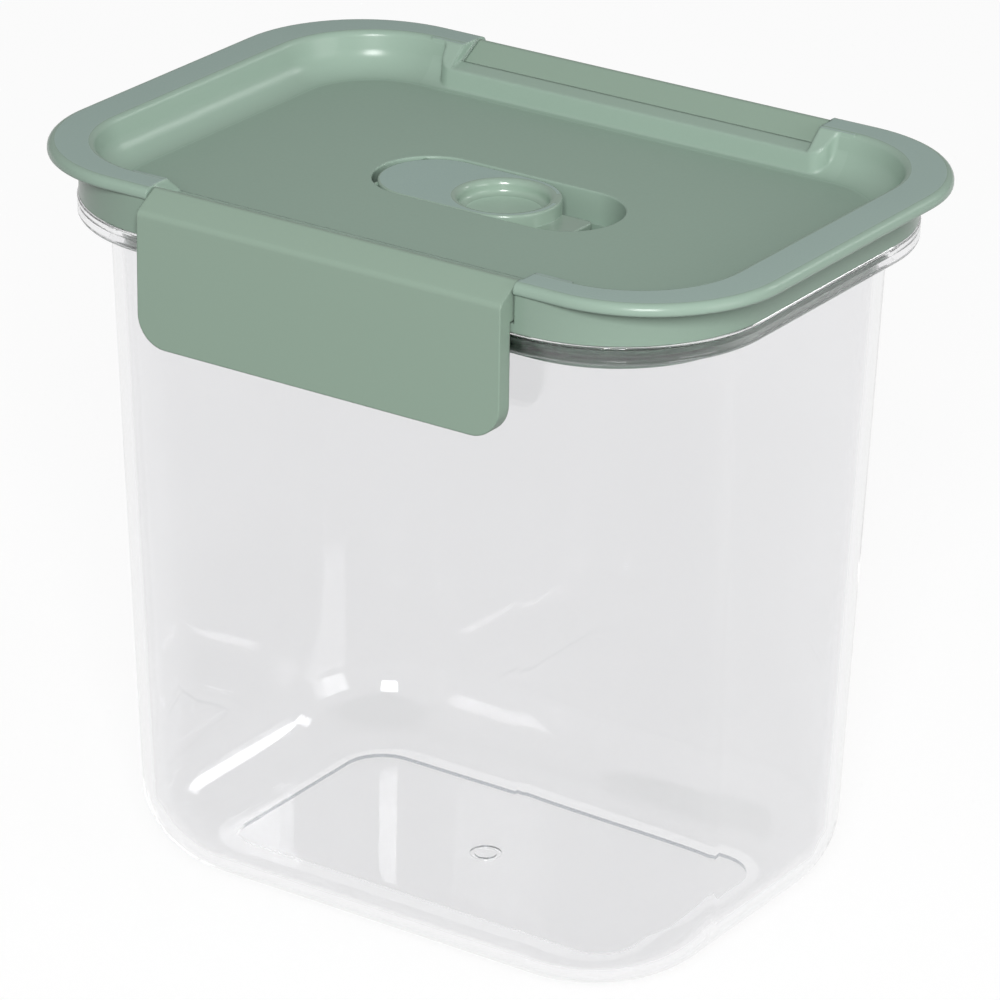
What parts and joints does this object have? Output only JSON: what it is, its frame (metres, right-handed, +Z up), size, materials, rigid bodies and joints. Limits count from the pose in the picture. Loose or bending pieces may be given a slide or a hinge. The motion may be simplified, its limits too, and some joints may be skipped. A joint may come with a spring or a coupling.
{
  "type": "food storage container",
  "caption": "Clear rectangular food storage container with a sage-green lid, hinged side latches, a sealing ring and a flip-up vent flap in the lid.",
  "frame": {"origin": "centre of the base, on the surface that the container stands on", "axes": "+Z up, +X along the long side, -Y towards the front latch"},
  "size_m": [0.165, 0.123, 0.1556],
  "materials": {
    "clear_plastic": "clear polished moulded plastic",
    "lid_plastic": "sage-green satin moulded plastic",
    "latch_plastic": "sage-green satin moulded plastic",
    "flap_plastic": "sage-green satin moulded plastic",
    "silicone": "soft matte silicone",
    "pin_steel": "drawn rod"
  },
  "bodies": {
    "container": {"container_body": "clear_plastic"},
    "lid": {"lid": "lid_plastic", "lid_gasket": "silicone"},
    "front_latch": {"front_latch": "latch_plastic", "front_hinge_pin": "pin_steel"},
    "rear_latch": {"rear_latch": "latch_plastic", "rear_hinge_pin": "pin_steel"},
    "vent_flap": {"vent_flap": "flap_plastic", "vent_hinge_pin": "flap_plastic", "vent_plug": "silicone"}
  },
  "joints": [
    {"name": "lid_lift", "type": "slide", "parent": "container", "child": "lid", "axis": [0, 0, 1], "range_m": [0, 0.06]},
    {"name": "front_latch_hinge", "type": "hinge", "parent": "lid", "child": "front_latch", "pos_m": [0, -0.054, 0.152], "axis": [-1, 0, 0], "range_deg": [0, 105]},
    {"name": "rear_latch_hinge", "type": "hinge", "parent": "lid", "child": "rear_latch", "pos_m": [0, 0.054, 0.152], "axis": [1, 0, 0], "range_deg": [0, 105]},
    {"name": "vent_flap_hinge", "type": "hinge", "parent": "lid", "child": "vent_flap", "pos_m": [-0.02385, 0, 0.1459], "axis": [0, -1, 0], "range_deg": [0, 60]}
  ]
}
